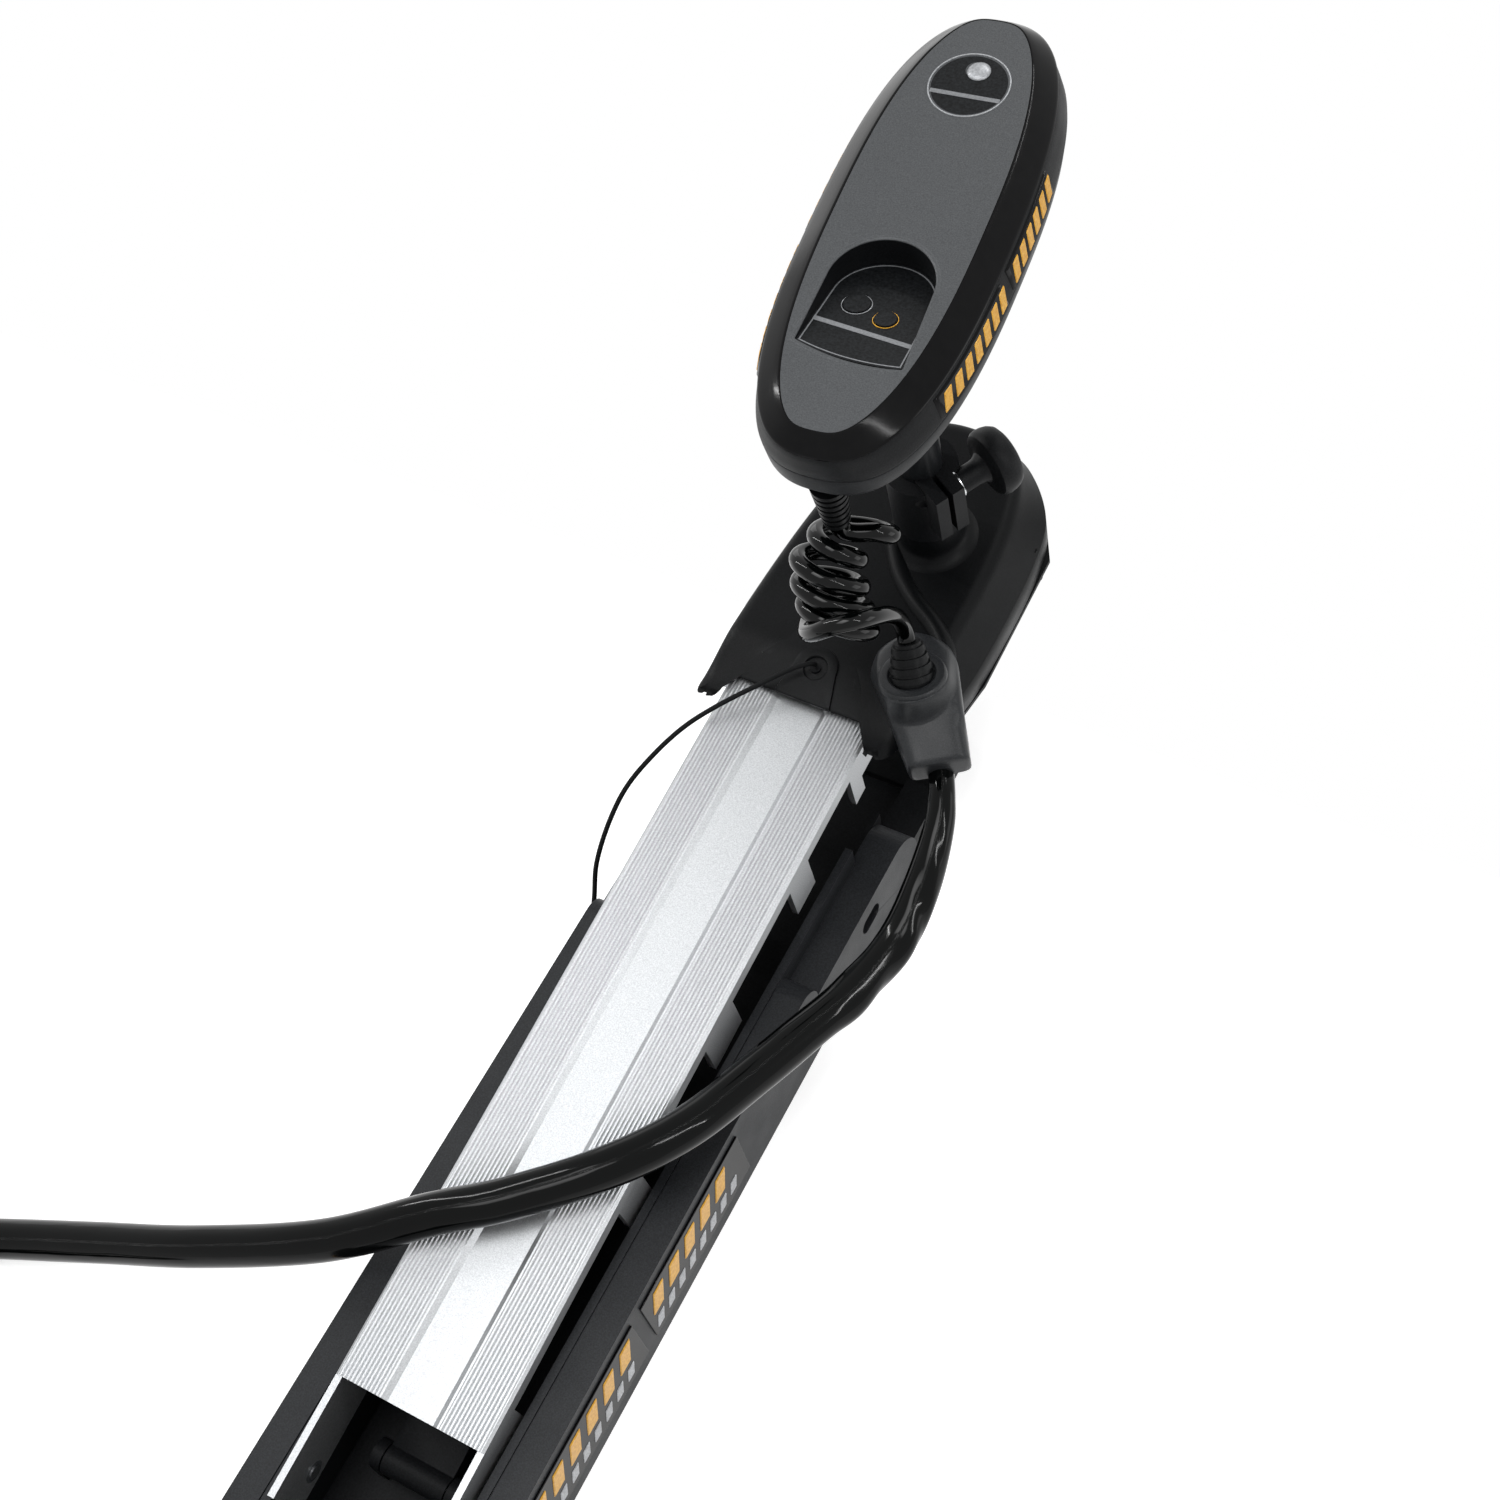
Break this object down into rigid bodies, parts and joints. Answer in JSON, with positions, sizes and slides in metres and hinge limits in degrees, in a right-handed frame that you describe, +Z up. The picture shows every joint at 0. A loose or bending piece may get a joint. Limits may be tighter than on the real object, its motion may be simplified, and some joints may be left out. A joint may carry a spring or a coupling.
{
  "type": "bow-mount trolling motor",
  "caption": "Bow-mount electric trolling motor: folding aluminium arm on a deck base, steering housing, oval control head on a long shaft, motor pod and propeller.",
  "frame": {"origin": "centre of the deck bolt pattern, on the deck", "axes": "+X to starboard, +Y to the bow, +Z up from the deck; the motor is deployed"},
  "size_m": [0.8055, 1.4576, 1.465],
  "materials": {
    "black_shell": "moulded black plastic, fine texture",
    "gloss_black": "polished black plastic",
    "grey_plate": "grey textured coating",
    "bare_aluminium": "satin anodised aluminium",
    "black_metal": "black powder coat",
    "steel": "plain steel",
    "gold_trim": "gold painted trim",
    "rubber": "black rubber",
    "cord_sheath": "glossy black cord sheath",
    "bronze": "bronze",
    "bush_plastic": "grey bearing plastic",
    "board_green": "circuit board",
    "composite_tube": "dark composite tube",
    "copper_core": "wound core",
    "bright_ring": "bright ring"
  },
  "bodies": {
    "mount_base": {"base_channel": "black_metal", "side_plate_left": "black_shell", "side_plate_right": "black_shell", "plate_screws": "steel", "plate_stripe_backs": "black_shell", "plate_gold_stripes": "gold_trim", "rest_bracket": "black_metal", "arm_pivot_pins": "steel", "link_pin": "steel", "power_lead": "cord_sheath", "lead_coil": "cord_sheath", "power_plug": "black_shell"},
    "roller": {"rest_roller": "rubber"},
    "outer_arm": {"outer_arm": "bare_aluminium", "arm_bushes": "bush_plastic"},
    "inner_arm": {"inner_arm": "black_metal", "link_end_pin": "steel"},
    "housing": {"housing_body": "black_shell", "housing_cover": "black_shell", "housing_floor": "black_shell", "housing_screws": "steel", "hinge_pins": "steel", "cord_block": "black_shell", "block_relief": "rubber", "pull_plate": "black_shell", "steer_motor": "steel", "upper_bush": "bush_plastic", "lower_bush": "bush_plastic", "coil_cord": "cord_sheath", "pull_cord": "cord_sheath", "pull_grip": "black_shell"},
    "latch": {"latch_pin": "steel"},
    "pinion": {"steer_pinion": "bronze"},
    "steering": {"drive_sleeve": "steel", "steer_gear": "bronze", "depth_collar": "black_shell"},
    "knob": {"collar_knob": "black_shell"},
    "motor": {"shaft_tube": "composite_tube", "head_lower": "black_shell", "head_upper": "gloss_black", "head_top_plate": "grey_plate", "badge_ring": "bright_ring", "badge_disc": "gloss_black", "control_panel": "black_shell", "head_stripe_backs": "black_shell", "head_gold_stripes": "gold_trim", "control_board": "board_green", "head_screws": "steel", "head_relief": "rubber", "motor_body": "black_metal", "motor_nose": "black_metal", "motor_tail": "black_metal", "magnets": "steel", "bearings": "steel", "skeg": "black_shell"},
    "large_button": {"button_large": "black_shell"},
    "small_button": {"button_small": "black_shell"},
    "rotor": {"armature": "copper_core", "propeller": "black_shell", "prop_nut": "steel"}
  },
  "joints": [
    {"name": "arm_fold", "type": "hinge", "parent": "mount_base", "child": "outer_arm", "pos_m": [0, -0.09636, 0.06002], "axis": [1, 0, 0], "range_deg": [0, 165], "deforming": ["power_lead"]},
    {"name": "link_swing", "type": "hinge", "parent": "mount_base", "child": "inner_arm", "pos_m": [0, -0.06336, 0.02802], "axis": [1, 0, 0], "range_deg": [0, 159.7]},
    {"name": "housing_tilt", "type": "hinge", "parent": "outer_arm", "child": "housing", "pos_m": [0, 0.5253, 0.1374], "axis": [1, 0, 0], "range_deg": [-75, 0]},
    {"name": "rest_roll", "type": "hinge", "parent": "mount_base", "child": "roller", "pos_m": [0, -0.18836, 0.0235], "axis": [1, 0, 0], "continuous": true},
    {"name": "latch_lift", "type": "slide", "parent": "housing", "child": "latch", "axis": [0, -0.0854, 0.9963], "range_m": [0, 0.006], "stiffness_N_per_m": 600, "deforming": ["pull_cord"]},
    {"name": "steer", "type": "hinge", "parent": "housing", "child": "steering", "pos_m": [0.034, 0.68135, 0.16684], "axis": [0, -0.0854, 0.9963], "range_deg": [-180, 180], "deforming": ["coil_cord"]},
    {"name": "pinion_spin", "type": "hinge", "parent": "housing", "child": "pinion", "pos_m": [-0.01125, 0.68477, 0.12699], "axis": [0, -0.0854, 0.9963], "range_deg": [-720, 720]},
    {"name": "depth", "type": "slide", "parent": "steering", "child": "motor", "axis": [0, -0.0854, 0.9963], "range_m": [0, 0.3], "deforming": ["coil_cord"]},
    {"name": "knob_turn", "type": "hinge", "parent": "steering", "child": "knob", "pos_m": [0.05425, 0.66135, 0.26058], "axis": [0.5075, 0.8585, 0.0736], "continuous": true},
    {"name": "large_press", "type": "slide", "parent": "motor", "child": "large_button", "axis": [0.0232, -0.157, -0.9873], "range_m": [0, 0.001], "stiffness_N_per_m": 1500},
    {"name": "small_press", "type": "slide", "parent": "motor", "child": "small_button", "axis": [0.0232, -0.157, -0.9873], "range_m": [0, 0.001], "stiffness_N_per_m": 1500},
    {"name": "prop_spin", "type": "hinge", "parent": "motor", "child": "rotor", "pos_m": [0.034, 0.76677, -0.8295], "axis": [-0.0958, 0.9918, 0.085], "continuous": true}
  ],
  "couplings": [
    {"joint": "link_swing", "follows": "arm_fold", "ratio": 0.9673},
    {"joint": "housing_tilt", "follows": "arm_fold", "ratio": -0.4545},
    {"joint": "pinion_spin", "follows": "steer", "ratio": -4}
  ]
}
